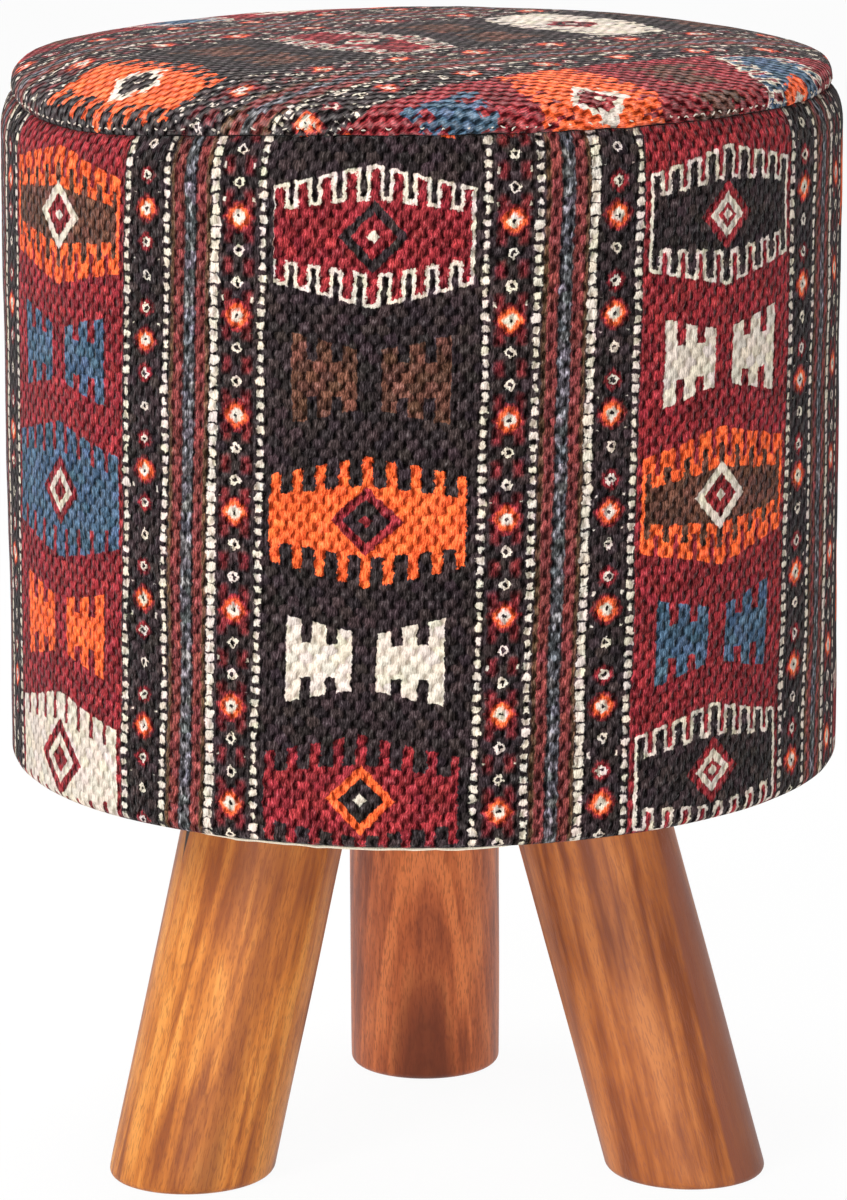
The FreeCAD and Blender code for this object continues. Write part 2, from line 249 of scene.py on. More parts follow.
class Finish:
    """Node tree of a new material or world, with its surface shader."""

    def __init__(self, name, store="materials", shader="Principled BSDF"):
        self.made = getattr(bpy.data, store).new(name)
        self.made.use_nodes = True
        self.nodes = self.made.node_tree.nodes
        self.links = self.made.node_tree.links
        self.shader = self.nodes[shader]

    def fill(self, socket, value):
        """Links a term to a socket, or sets the socket's own value."""
        if isinstance(value, Term):
            self.links.new(value.output, socket)
        else:
            socket.default_value = value

    def node(self, kind, settings=None, inputs=None, output=0):
        """Adds a node: its settings first, then the values or links of its sockets."""
        made = self.nodes.new(kind)
        for name, value in (settings or {}).items():
            setattr(made, name, value)
        for name, value in (inputs or {}).items():
            self.fill(made.inputs[name], value)
        return Term(self, made.outputs[output])

    def place(self):
        """Object coordinates of the piece."""
        return self.node("ShaderNodeTexCoord", output="Object")

    def upward(self):
        """How far the surface faces up, 1 at most."""
        return self.split(self.node("ShaderNodeNewGeometry", output="Normal"))[2]

    def mix(self, share, first, second, blend="MIX"):
        """Mixes two colours."""
        settings = {"data_type": "RGBA", "blend_type": blend}
        return self.node("ShaderNodeMix", settings, {0: share, 6: first, 7: second}, output=2)

    def ramp(self, share, stops, interpolation="LINEAR"):
        """Colour of a ramp at a share from 0 to 1; its stops are places and colours in rising order."""
        result = self.node("ShaderNodeValToRGB", {}, {0: share})
        ramp = result.output.node.color_ramp
        ramp.interpolation = interpolation
        ramp.elements.remove(ramp.elements[-1])
        ramp.elements[0].position, ramp.elements[0].color = stops[0]
        for place, colour in stops[1:]:
            ramp.elements.new(place).color = colour
        return result

    def noise(self, place, scale, detail, distortion=0.0, output=0, dimensions="3D", stretch=None):
        """Smooth noise, as a value or as a colour (output 1); the place may be stretched first."""
        if stretch:
            place = self.vector("MULTIPLY", place, stretch)
        inputs = {"Vector": place, "Scale": scale, "Detail": detail, "Distortion": distortion}
        return self.node("ShaderNodeTexNoise", {"noise_dimensions": dimensions}, inputs, output)

    def speck(self, place):
        """A different random value for each whole-numbered place."""
        return self.node("ShaderNodeTexWhiteNoise", {"noise_dimensions": "2D"}, {"Vector": place})

    def vector(self, operation, *values):
        """Vector arithmetic."""
        return self.node("ShaderNodeVectorMath", {"operation": operation}, dict(enumerate(values)))

    def scale(self, place, factor):
        """A vector times a value."""
        return self.node("ShaderNodeVectorMath", {"operation": "SCALE"}, {0: place, "Scale": factor})

    def join(self, across, up):
        """A flat vector from two values."""
        return self.node("ShaderNodeCombineXYZ", {}, {0: across, 1: up})

    def split(self, place):
        """The three values of a vector."""
        parts = self.node("ShaderNodeSeparateXYZ", {}, {0: place})
        return [parts.also(name) for name in "XYZ"]

    def surface(self, **inputs):
        """Sets the surface shader's sockets; a name's underscores stand for spaces."""
        for name, value in inputs.items():
            self.fill(self.shader.inputs[name.replace("_", " ")], value)

    def cover(self, share, shader):
        """Mixes another shader over the surface."""
        surface = Term(self, self.shader.outputs[0])
        target = surface.output.links[0].to_socket
        both = self.node("ShaderNodeMixShader", {}, {0: share, 1: surface, 2: shader})
        self.links.new(both.output, target)

    def done(self, height, depth, strength=1.0, **inputs):
        """Sets the surface and a bump of that depth in metres, and gives the material."""
        bump = self.node("ShaderNodeBump", {}, {"Strength": strength, "Distance": depth, "Height": height})
        self.surface(Normal=bump, **inputs)
        return self.made


# What stands in the rows of each panel, from the lowest row up. A medallion row gives its field, its outline
# and its diamond from the outer ring to the dot; a row of combs gives one colour.
PANELS = {
    "black": (
        "red black orange black black cream", "cream",
        "orange black red black black red", "brown",
        "red cream black red red cream", "orange",
    ),
    "right red": (
        "black cream red cream red cream", "blue",
        "brown orange cream red red cream", "cream",
        "black cream red cream red cream", "black",
    ),
    "left red": (
        "cream cream red cream red red", "orange",
        "blue blue red cream red red", "blue",
        "brown orange cream red red cream", "cream",
    ),
    "top black": (
        "red cream black cream red red", "brown",
        "cream cream red black red cream", "brown",
        "orange black cream black black cream", "brown",
    ),
    "top red": (
        "orange orange cream red red cream", "brown",
        "blue cream orange orange cream cream", "cream",
        "orange orange black cream red red", "blue",
    ),
}
PANEL_ROWS = len(PANELS["black"])
ROWS = [row.split() for panel in PANELS.values() for row in panel]
FIELD, OUTLINE, OUTER_RING, MIDDLE_RING, INNER_RING, DOT = range(6)

# The top panel is cut from the same cloth, this many repeats further along it
TOP_REPEATS = 40
TOP_WARP_ANGLE = math.radians(38)
TOP_BLACK_MIDDLE = 6.0
TOP_WARP_START = 435.0

# Unevenness of the print, in millimetres: slow drift, frayed edges and the softness of an edge
DRIFT = 1.6
FRAY = 1.7
PRINT_EDGE = 0.4

# Medallions: lengths in millimetres, slopes and shares
MEDALLION_HALF = 34.3
MEDALLION_ROUNDING = 1.2
TOOTH_PITCH = 8.0
TOOTH_HALF = 3.0
TIP_HEIGHT = 24.1
TIP_SLOPE = 0.228
NOTCH_HEIGHT = 13.8
NOTCH_SLOPE = 0.13
OUTLINE_WIDTH = 1.3
OUTLINE_RAGGED = 1.2
WIDE_OUTLINE = 0.3
WIDE_TIP = 4.0
WIDE_NOTCH = 2.0
DIAMOND_HALF = 12.4
LARGE_DIAMOND = 0.17
RING_SHARES = (0.98, 0.64, 0.36, 0.18)
LEFT_PANEL_DROP = 1.8
RIGHT_PANEL_LIFT = 1.0

# Combs: lengths in millimetres, and the slope of the prongs' ends
COMB_MIDDLE = 15.65
COMB_HALF = 11.3
COMB_BACK = 5.9
PRONG_PITCH = 8.75
PRONG_HALF = 2.45
PRONG_HEIGHT = 12.6
PRONG_SLOPE = 0.22

# Flower columns, stripes and beaded lines: lengths in millimetres, and shares
FLOWER_REACH = 6.6
FLOWER_RAGGED = 1.6
LEFT_FLOWER = 0.14
BLOTCH_PLACE = 3.8
BLOTCH_HALF = 1.6
BLOTCH_HEIGHT = 2.8
SPECK_PLACE = 5.4
SPECK_HALF = 0.4
SLATE_HALF = 0.1
BEAD_HALF = 1.28
BEAD_EXTRA = 0.4
BEAD_ROUNDING = 1.2
BEAD_RAGGED = 0.8
BEAD_GROUND = 1.9
TOP_BEAD_LOSS = 0.45

# Weave: the step of a groove, how far floats differ in hue, the painted glint of loose fibres, the relief in
# metres, and what only the top panel has, with its stronger painted glint and painted shade
GROOVE_STEP = 0.125
FLOAT_HUE = 0.08
FIBRE_GLINT = 0.36
GLINT_COLOUR = (1, 0.95, 0.92, 1)
WEAVE_RELIEF = 0.0012
TOP_GLINT = 0.28
TOP_JITTER = 3.2
TOP_LEVEL = 0.98
TOP_CONTRAST = 0.45


class KilimPrint:
    """The print: panels of medallions and combs, flower columns, stripes and beaded lines."""

    def __init__(self, finish, design):
        self.finish = finish
        self.design = design
        self.flat = finish.scale(finish.node("ShaderNodeUVMap", {"uv_map": CLOTH_MAP}), 1 / MILLIMETRE)
        self.flat = self.moved(DRIFT, 0.03, 1)
        self.frayed = self.moved(FRAY, 0.42, 2)
        centre = (DRIFT + FRAY) / 2
        shifted = finish.vector("SUBTRACT", self.frayed, (centre, centre, 0))
        shifted = finish.vector("ADD", shifted, self.float_jitter())
        self.ragged = self.noise(0.9, 1) - 0.5
        along, self.up, _ = finish.split(shifted)
        self.lay_out(self.up.times_plus(-design.lean, along))

    def noise(self, scale, detail, **settings):
        """Noise on the flat cloth; the scale is per millimetre."""
        return self.finish.noise(self.flat, scale, detail, dimensions="2D", **settings)

    def moved(self, amount, scale, detail):
        """The place on the cloth, moved about by noise."""
        move = self.noise(scale, detail, output=1)
        return self.finish.vector("MULTIPLY_ADD", move, (amount, amount, 0), self.flat)

    def float_jitter(self):
        """On the top panel each float takes its colour from a little beside its place."""
        finish, design = self.finish, self.design
        along, up, _ = finish.split(self.flat)
        self.on_top = along > design.half_repeat * TOP_REPEATS
        cell = finish.join(round(along / design.float_width), round(up / design.float_height))
        centred = finish.vector("SUBTRACT", finish.speck(cell).also("Color"), (0.5, 0.5, 0.5))
        return finish.scale(centred, self.on_top * TOP_JITTER)

    def colour(self, name, strength=1.0):
        return opaque(getattr(self.design, name), strength)

    def colours(self, *names):
        return [self.colour(name) for name in names]

    def lay_out(self, along):
        """Folds the cloth so that each panel, column and stripe is drawn once."""
        design = self.design
        repeat = 2 * design.half_repeat
        turn = (along - design.black_middle) / repeat
        count = round(turn)
        swing = (turn - count) * repeat
        spread = abs(swing)
        self.from_middle = spread.least(design.half_repeat - spread)
        self.is_red = spread > design.half_repeat / 2
        side = swing.sign()
        self.panel = count.times_plus(2, self.is_red * side)
        self.has_end_line = self.is_red.most(side)
        self.is_left_half = side * self.is_red.times_plus(-2, 1) < 0
        left_or_right = self.is_red * ((self.panel % 4 + 1) * 0.5)
        self.group = (self.panel > TOP_REPEATS).times_plus(3, left_or_right).least(len(PANELS) - 1)
        self.is_right_red = abs(self.group - 1) < 0.5
        self.is_left_red = abs(self.group - 2) < 0.5

    def by_row(self, choice, colour_of):
        """The colour that a function gives for the row of motifs at this place."""
        stops = [(place / len(ROWS), colour_of(row)) for place, row in enumerate(ROWS)]
        return self.finish.ramp(choice, stops, "CONSTANT")

    def part_colour(self, choice, part):
        """Colour of one part of the motif; a comb has one colour for all parts."""
        return self.by_row(choice, lambda row: self.colour(row[min(part, len(row) - 1)]))

    def lay(self, depth, picture, colour):
        """Prints a colour over the picture where the depth inside a shape is above zero."""
        return self.finish.mix(depth.inside(PRINT_EDGE), picture, colour)

    def fold(self, start, pitch):
        """Steps up the cloth as a running value, the nearest whole step and the distance from it."""
        level = (self.up - start) / pitch
        count = round(level)
        return level, count, abs(level - count) * pitch

    def draw_panels(self):
        """Medallions and combs on the black and red grounds."""
        finish, design, across = self.finish, self.design, self.from_middle
        drop = self.is_left_red * LEFT_PANEL_DROP - self.is_right_red * RIGHT_PANEL_LIFT
        _, row, height = self.fold(design.first_row - drop, design.row_pitch)
        is_comb = row % 2
        kind = math.trunc(self.panel * 0.5).times_plus(-2, row) % PANEL_ROWS
        motif = self.group.times_plus(PANEL_ROWS, kind)
        choice = (motif + 0.5) / len(ROWS)

        def toothed(tooth, tip, notch):
            teeth = tooth.smooth_least(tip, MEDALLION_ROUNDING)
            return teeth.smooth_most(notch, MEDALLION_ROUNDING)

        tooth = TOOTH_HALF - abs((across / TOOTH_PITCH + 0.5) % 1 - 0.5) * TOOTH_PITCH
        tip = across.times_plus(-TIP_SLOPE, TIP_HEIGHT) - height
        notch = across.times_plus(-NOTCH_SLOPE, NOTCH_HEIGHT) - height
        end = MEDALLION_HALF - across
        medallion = toothed(tooth, tip, notch).least(end)

        from_comb = across - COMB_MIDDLE
        nearest = round(from_comb / PRONG_PITCH).least(1).most(-1)
        prong = PRONG_HALF - abs(nearest.times_plus(-PRONG_PITCH, from_comb))
        prong_end = from_comb.times_plus(PRONG_SLOPE, PRONG_HEIGHT) - height
        comb = prong.least(prong_end).most(COMB_BACK - height).least(COMB_HALF - abs(from_comb))

        depth = (comb - medallion) * is_comb + medallion
        ground = finish.mix(self.is_red, *self.colours("black", "red"))
        picture = self.lay(depth, ground, self.part_colour(choice, OUTLINE))

        # Orange outlines were printed wider than the others
        wide = self.by_row(choice, lambda row: grey(float(len(row) > 1 and row[OUTLINE] == "orange")))
        width = wide.times_plus(WIDE_OUTLINE, OUTLINE_WIDTH) + self.ragged * OUTLINE_RAGGED
        field_tip = tip - wide.times_plus(WIDE_TIP, width)
        field_notch = notch - wide.times_plus(WIDE_NOTCH, width)
        field = toothed(tooth - width, field_tip, field_notch).least(end - width * self.has_end_line)
        core = (comb - field) * is_comb + field
        picture = self.lay(core, picture, self.part_colour(choice, FIELD))

        is_large = abs(motif - 2 * PANEL_ROWS) < 0.5
        diamond = (across + height) / is_large.times_plus(LARGE_DIAMOND * DIAMOND_HALF, DIAMOND_HALF)
        steepness = DIAMOND_HALF / math.sqrt(2)
        no_comb = 1 - is_comb
        for part, share in zip((OUTER_RING, MIDDLE_RING, INNER_RING, DOT), RING_SHARES):
            ring = ((share - diamond) * steepness).inside(PRINT_EDGE) * no_comb
            picture = finish.mix(ring, picture, self.part_colour(choice, part))
        return picture

    def flower_stops(self):
        """Colours from a flower's middle outwards: orange flowers, then plain rings, then red rings."""
        black, cream, red, orange = self.colours("black", "cream", "red", "orange")
        pale = [share * 0.5 + other * 0.5 for share, other in zip(cream, orange)]
        ember = [share * 0.6 + other * 0.4 for share, other in zip(orange, red)]
        clear = (0, 0, 0, 0)
        kinds = (
            ((0.0, black), (0.08, black), (0.12, cream), (0.27, cream), (0.34, pale), (0.42, orange),
             (0.54, ember), (0.68, red), (0.96, clear)),
            ((0.0, black), (0.11, black), (0.15, cream), (0.26, cream), (0.32, clear), (0.97, clear)),
            ((0.0, black), (0.11, black), (0.15, cream), (0.25, cream), (0.31, red), (0.42, red),
             (0.66, clear), (0.97, clear)),
        )
        return [((kind + place) / 3, colour) for kind, stops in enumerate(kinds) for place, colour in stops]

    def draw_columns(self, picture):
        """Flowers, rings and blotches between the beaded lines."""
        finish, design = self.finish, self.design
        middle = design.panel_half_width + design.column_width / 2
        across = abs(self.from_middle - middle)
        level, count, height = self.fold(design.flower_start, design.flower_pitch)
        kind = count % (self.is_left_red + 3)
        is_ring = kind > 0.5
        is_glow = abs(kind - 2).apply("COMPARE", 1.0, 0.5) * self.is_red * is_ring

        from_step = design.flower_pitch / 2 - height
        blotch = (BLOTCH_HALF - abs(across - BLOTCH_PLACE)).inside(1.6)
        blotch = blotch * (BLOTCH_HEIGHT - from_step).inside(2.0) * (1 - self.is_red)
        column = finish.mix(blotch * 0.7, self.colour("black"), self.colour("red", 0.8))

        round_way = (across * across + height * height) ** 0.5
        radius = round_way * 0.6 + (across + height) * 0.32 + self.ragged * FLOWER_RAGGED
        share = (radius * self.is_left_red.times_plus(LEFT_FLOWER, 1) / FLOWER_REACH).least(0.96)
        flower = finish.ramp((is_ring + is_glow + share) / 3, self.flower_stops())
        column = finish.mix(flower.also("Alpha"), column, flower)

        chance = finish.speck(finish.join(math.floor(level), self.panel))
        speck = (SPECK_HALF - abs(across - SPECK_PLACE)).least(chance * 2.4 - 1.4 - from_step)
        column = self.lay(speck, column, self.colour("cream"))
        return self.lay(self.from_middle - design.panel_half_width, picture, column)

    def draw_stripes(self, picture):
        """Plain stripes between two flower columns."""
        finish, design = self.finish, self.design
        start = design.panel_half_width + design.column_width
        half = design.half_repeat / 2 - start
        side = self.is_red.times_plus(2, -1)
        share = (design.half_repeat / 2 - self.from_middle) * side / (2 * half) + 0.5
        black, wine, olive = self.colours("black", "wine", "olive")
        stripes = finish.ramp(share, (
            (0.0, black), (0.06, olive), (0.16, olive), (0.20, wine), (0.35, wine), (0.39, black),
            (0.61, black), (0.65, wine), (0.81, wine), (0.85, olive), (0.93, olive), (0.98, black),
        ))
        fleck = self.noise(1.0, 1, stretch=(0.6, 0.34, 0))
        slub = finish.ramp(fleck, [
            (place, self.colour("slate", strength))
            for place, strength in ((0.3, 0.4), (0.5, 0.9), (0.6, 1.7), (0.7, 3.6))
        ])
        stripes = finish.mix((SLATE_HALF - abs(share - 0.5)).inside(0.04), stripes, slub)
        return self.lay(self.from_middle - start, picture, stripes)

    def draw_beads(self, picture):
        """Beaded lines on both sides of the flower columns."""
        finish, design = self.finish, self.design
        inner = design.panel_half_width
        outer = inner + design.column_width
        is_outer = self.from_middle > (inner + outer) / 2
        across = self.from_middle - is_outer.times_plus(outer - inner, inner)
        line = self.panel.times_plus(7, is_outer * 3)
        level = self.up / design.bead_pitch + is_outer.times_plus(0.37, 0.11)
        count = math.floor(level)
        chance = finish.speck(finish.join(count, line))
        other = chance * 7.3 % 1
        height = (level - count - 0.5) * design.bead_pitch + other.times_plus(0.7, -0.35)
        big = is_outer * self.is_left_half * BEAD_EXTRA
        width = chance.times_plus(0.6, 0.6) * BEAD_HALF + big
        taper = other.times_plus(0.4, -0.2)
        tall = other.times_plus(-0.4, BEAD_HALF + 0.2) + big - abs(height)
        bead = (height * taper + width - abs(across)).smooth_least(tall, BEAD_ROUNDING)
        bead = bead + self.ragged * BEAD_RAGGED - self.on_top * TOP_BEAD_LOSS
        picture = finish.mix((BEAD_GROUND - abs(across)).inside(0.7), picture, self.colour("black"))
        return self.lay(bead, picture, self.colour("cream"))

    def weave(self, picture):
        """Shades the print by the yarn; gives the colour and the height of the cloth.

        The floats lie in slanting ridges, and the dark grooves between the ridges step round each float.
        """
        finish, design = self.finish, self.design
        along, up, _ = finish.split(self.frayed)
        column = up.times_plus(-design.lean, along) / design.float_width
        row = up / design.float_height
        way = (column + row) * 0.5
        step = way * math.tau
        slant = (column - row) * 0.5 - step.sine() * GROOVE_STEP
        ridge = round(slant)
        across = (slant - ridge) * math.tau
        board = across.cosine() * 0.33 + step.cosine().times_plus(0.17, 0.5)
        chance = finish.speck(finish.join(ridge, round(way)))
        yarn = ((column * 3.1 - row * 0.5 + chance * 3) * math.tau).cosine()
        fuzz = self.noise(1.0, 2, stretch=(1.15, 0.42, 0))
        bright = finish.node("ShaderNodeRGBToBW", {}, {0: picture})
        height = (fuzz.times_plus(0.35, board) + yarn * 0.05 - 0.65) * bright.times_plus(-0.35, 1)

        # Light on the yarn: dark in the grooves, uneven from float to float, and stronger on dark dyes
        light = finish.ramp(board, (
            (0.0, grey(0.24)), (0.18, grey(0.40)), (0.38, grey(0.90)), (0.9, grey(1.06))))
        light = light * across.times_plus(-0.07, 1.0) * chance.times_plus(0.4, 0.8)
        light = light * fuzz.times_plus(1.9, 0.05) * yarn.times_plus(0.24, 1.0)
        # The level part of the top panel gets stronger painted light and shade on its floats
        level = (finish.upward() - TOP_LEVEL).inside(0.03) * self.on_top
        light = light ** (bright.times_plus(-1.8, 1.63) * level.times_plus(TOP_CONTRAST, 1))

        # Painted shade deepens the dye; crests get a painted glint of loose fibres, stronger on the top panel
        dyed = finish.mix(FLOAT_HUE, picture, chance.also("Color"), "OVERLAY")
        dyed = finish.mix((1 - light).most(0) * bright * 1.5, dyed, dyed, "MULTIPLY")
        lit = (board - 0.42).most(0) * fuzz * self.on_top
        glint = ((fuzz - 0.6) * board).most(0) * FIBRE_GLINT + lit * TOP_GLINT
        return finish.mix(glint, finish.scale(dyed, light), GLINT_COLOUR), height


def kilim_finish(design):
    """Printed kilim cloth, made once and used on both covers."""
    name = "kilim_print"
    if name in bpy.data.materials:
        return bpy.data.materials[name]
    finish = Finish(name)
    cloth = KilimPrint(finish, design)
    picture = cloth.draw_panels()
    picture = cloth.draw_columns(picture)
    picture = cloth.draw_stripes(picture)
    picture = cloth.draw_beads(picture)
    colour, height = cloth.weave(picture)
    return finish.done(height, WEAVE_RELIEF, Base_Color=colour, Roughness=0.86, Specular_IOR_Level=0.0,
                       Sheen_Weight=0.11, Sheen_Roughness=0.28)


def thread_finish(name, colour):
    """Twisted cotton thread."""
    finish = Finish(name)
    twist = finish.noise(finish.place(), 2600, 1)
    shade = finish.mix(twist, opaque(colour, 0.72), opaque(colour))
    return finish.done(twist, 0.0002, Base_Color=shade, Roughness=0.8, Specular_IOR_Level=0.25)


def calico_finish():
    """Plain undyed calico."""
    finish = Finish("calico_weave")
    place = finish.place()
    across, along, _ = finish.split(place)
    threads_per_metre = 5200
    threads = (across * threads_per_metre).sine() * (along * threads_per_metre).sine()
    slubs = finish.noise(place, 160, 3)
    shade = finish.mix(slubs, tint(240, 226, 200), tint(252, 243, 224))
    shade = finish.mix(threads.times_plus(0.1, 0.1), shade, tint(206, 188, 156))
    height = threads.times_plus(0.5, 0.5) + slubs
    return finish.done(height, 0.0002, Base_Color=shade, Roughness=0.9, Specular_IOR_Level=0.2)


def foam_finish():
    """Open-celled upholstery foam."""
    finish = Finish("foam_cells")
    place = finish.place()
    cells = finish.node("ShaderNodeTexVoronoi", {"feature": "F1"}, {"Vector": place, "Scale": 620.0})
    shade = finish.mix(finish.noise(place, 24, 3), tint(226, 208, 160), tint(240, 228, 190))
    # The pores are painted darker, as painted shade down in the holes
    shade = finish.mix((0.35 - cells).inside(0.4) * 0.4, shade, tint(176, 150, 104))
    return finish.done(cells, 0.0006, Base_Color=shade, Roughness=0.95, Specular_IOR_Level=0.15)


def plywood_finish():
    """Birch plywood: plain face grain, and thin plies that show on the edges."""
    finish = Finish("birch_plywood")
    place = finish.place()
    grain = finish.noise(place, 120, 5, distortion=0.4, stretch=(1, 0.06, 1))
    plies = (finish.split(place)[2] * 4200).sine()
    edge = (0.5 - abs(finish.upward())).inside(0.2)
    shade = finish.ramp(grain, (
        (0.3, tint(196, 158, 108)), (0.5, tint(218, 186, 138)), (0.7, tint(232, 206, 164))))
    shade = finish.mix(edge * plies.inside(0.5) * 0.55, shade, tint(132, 92, 56))
    return finish.done(grain, 0.0003, 0.6, Base_Color=shade, Roughness=0.68)


def batten_finish():
    """Planed softwood battens."""
    finish = Finish("planed_batten")
    rings = finish.noise(finish.place(), 210, 4, distortion=0.8, stretch=(1, 1, 0.05))
    shade = finish.ramp(rings, (
        (0.34, tint(186, 138, 86)), (0.52, tint(220, 180, 126)), (0.68, tint(236, 206, 158))))
    return finish.done(rings, 0.0003, 0.5, Base_Color=shade, Roughness=0.62)


def zinc_finish():
    """Zinc-plated steel with a fine grain and dull patches."""
    finish = Finish("zinc_plate")
    place = finish.place()
    patches = finish.noise(place, 190, 4)
    shade = finish.mix(patches, tint(150, 152, 150), tint(205, 206, 200))
    dullness = patches.times_plus(0.3, 0.22)
    return finish.done(
        finish.noise(place, 900, 2), 0.0001, 0.4, Base_Color=shade, Metallic=1.0, Roughness=dullness)


class Leg(NamedTuple):
    """One leg and its wood, with angles in degrees; the growth rings lie round the pith."""

    name: str
    turn: float
    lean: float
    diameter: float
    tones: tuple  # pale, middle and dark wood, then the heartwood
    pith: tuple  # where the pith stands at the foot, across and in depth
    pith_lean: tuple
    heart_radius: float
    heart_edge: float  # softness of the heartwood's edge
    heart_fade: float = 0.0  # how far the heartwood pales towards the pith
    split: tuple = ()  # drying split: its place across, where it starts and how fast it opens
    top_shade: float = 0.0  # how dark the painted shadow of the seat makes the top of the leg


LEGS = (
    Leg("front_left", 210.0, 14.1, 0.0586,
        ((226, 150, 72), (199, 119, 50), (146, 78, 36), (116, 60, 32)),
        pith=(0.009, -0.030), pith_lean=(0.05, -0.01), heart_radius=0.007, heart_edge=0.006,
        split=(-0.0264, 0.113, 0.06), top_shade=0.45),
    Leg("front_right", 333.5, 16.8, 0.0558,
        ((198, 122, 66), (172, 98, 49), (132, 68, 35), (138, 80, 62)),
        pith=(0.0325, -0.010), pith_lean=(0.069, -0.05), heart_radius=0.014, heart_edge=0.0014,
        heart_fade=0.3),
    Leg("rear", 90.0, 10.7, 0.0568,
        ((230, 136, 82), (196, 106, 62), (150, 76, 44), (110, 50, 28)),
        pith=(0.004, -0.030), pith_lean=(0.0, -0.16), heart_radius=0.014, heart_edge=0.006),
)

# Wood figure: how noise is drawn out along the grain, and lengths in metres
STREAK_STRETCH = (1, 1, 0.09)
CLOUD_STRETCH = (1, 1, 0.3)
PORE_STRETCH = (1, 1, 0.14)
RING_WAVER = 0.009
HEART_WAVER = 0.008
SHADE_START = 0.1
PORE_SHARE = 0.42
SPLIT_COLOUR = tint(38, 24, 18)


def leg_finish(leg, foot, turn):
    """Lacquered hardwood: growth rings round a pith near the face, darker heartwood and short pores."""
    finish = Finish(leg.name + "_wood")
    pale, middle, dark, heartwood = [tint(*tone) for tone in leg.tones]
    place = finish.node("ShaderNodeMapping", {"vector_type": "TEXTURE"}, {
        "Vector": finish.place(), "Location": foot, "Rotation": turn})
    own = finish.vector("ADD", place, foot * 10)
    waver = finish.noise(own, 48, 3, output=1, stretch=STREAK_STRETCH)
    bent = finish.vector("MULTIPLY_ADD", waver, (RING_WAVER, RING_WAVER, 0), place)
    across, depth, along = finish.split(bent)
    aside = along.times_plus(-leg.pith_lean[0], across - leg.pith[0])
    behind = along.times_plus(-leg.pith_lean[1], depth - leg.pith[1])
    ring = (aside * aside + behind * behind) ** 0.5
    figure = finish.noise(finish.join(ring * 230, along * 6), 1.0, 3, distortion=0.4, dimensions="2D")
    fine = finish.noise(own, 420, 2, stretch=STREAK_STRETCH)
    cloud = finish.noise(own, 62, 3, stretch=CLOUD_STRETCH)
    tone = figure * 0.34 + fine * 0.22 + cloud * 0.44
    shade = finish.ramp(tone, ((0.40, dark), (0.5, middle), (0.60, pale)))
    inward = cloud.times_plus(HEART_WAVER, leg.heart_radius - HEART_WAVER / 2) - ring
    heart = inward.inside(leg.heart_edge) * figure.times_plus(0.9, 0.4)
    heart = heart * inward.times_plus(-leg.heart_fade / leg.heart_radius, 1.0)
    shade = finish.mix(heart.least(1).most(0), shade, heartwood)
    pore = (finish.noise(own, 2000, 1, stretch=PORE_STRETCH) - 0.58).inside(0.12)
    shade = finish.mix(pore * PORE_SHARE, shade, heartwood)
    # Painted shadow of the seat over the top of the leg
    shade = finish.mix((along - SHADE_START).inside(0.04) * leg.top_shade, shade, dark)
    if leg.split:
        shade = draw_split(finish, place, shade, *leg.split)
    return finish.done(
        pore * -0.6 + figure * 0.3, 0.0002, 0.5, Base_Color=shade, Roughness=figure.times_plus(0.12, 0.4),
        Specular_IOR_Level=0.27, Coat_Weight=0.08, Coat_Roughness=0.3)


def draw_split(finish, place, shade, aside, start, opening):
    """A short dark drying split in the end of a leg, widest at the end grain."""
    across, depth, along = finish.split(place)
    gap = (along - start) * opening - abs(across - aside)
    is_front = depth < 0
    return finish.mix(gap.inside(0.0003) * is_front, shade, SPLIT_COLOUR)


class Section:
    """Half section of a round piece: a chain of points, each a radius and a level."""

    def __init__(self, start):
        self.points = [start]

    def line(self, end, steps=1):
        """Goes on straight to a point."""
        start = self.points[-1]
        for step in range(1, steps + 1):
            share = step / steps
            self.points.append(tuple(near + (far - near) * share for near, far in zip(start, end)))

    def arc(self, middle, reach, start, end, steps, first=1):
        """Goes on along an arc from one angle to another; its reach outwards and up may differ."""
        for step in range(first, steps + 1):
            turn = start + (end - start) * step / steps
            outward, up = reach[0] * math.cos(turn), reach[1] * math.sin(turn)
            self.points.append((middle[0] + outward, middle[1] + up))

    def ways(self):
        """Way along the section to each point."""
        return [0.0, *accumulate(math.dist(*pair) for pair in zip(self.points, self.points[1:]))]

    def spin(self, steps=ROUND_STEPS, closed=False):
        """The round mesh, and the layer that keeps each vertex's way along the section."""
        mesh = bmesh.new()
        way = mesh.verts.layers.float.new("way")
        chain = [mesh.verts.new((0, -radius, level)) for radius, level in self.points]
        for vertex, travelled in zip(chain, self.ways()):
            vertex[way] = travelled
        edges = [mesh.edges.new(pair) for pair in zip(chain, chain[1:])]
        if closed:
            edges.append(mesh.edges.new((chain[-1], chain[0])))
        bmesh.ops.spin(
            mesh, geom=chain + edges, cent=(0, 0, 0), axis=(0, 0, 1), angle=math.tau, steps=steps,
            use_merge=True)
        bmesh.ops.remove_doubles(mesh, verts=mesh.verts, dist=1e-6)
        bmesh.ops.recalc_face_normals(mesh, faces=mesh.faces)
        return mesh, way


def face_outwards(mesh):
    """Turns an open round shell so that its faces look away from the middle of the seat."""
    middle = Vector((0, 0, (band_low.z + top_high.z) / 2))
    outward = sum(
        (face.calc_center_median() - middle).dot(face.normal) * face.calc_area() for face in mesh.faces)
    if outward < 0:
        bmesh.ops.reverse_faces(mesh, faces=mesh.faces)


def add_object(name, data):
    """A new object in the scene."""
    made = bpy.data.objects.new(name, data)
    bpy.context.scene.collection.objects.link(made)
    return made


def add_mesh(name, mesh, material):
    """Makes the mesh an object with one material."""
    data = bpy.data.meshes.new(name)
    mesh.to_mesh(data)
    mesh.free()
    data.materials.append(material)
    return add_object(name, data)


def add_piece(name, mesh, material, nodes):
    """Makes the mesh an object that rides on the stool and stands for CAD nodes."""
    for face in mesh.faces:
        face.smooth = True
    piece = add_mesh(name, mesh, material)
    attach(piece, BODY)
    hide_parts(*nodes)
    return piece


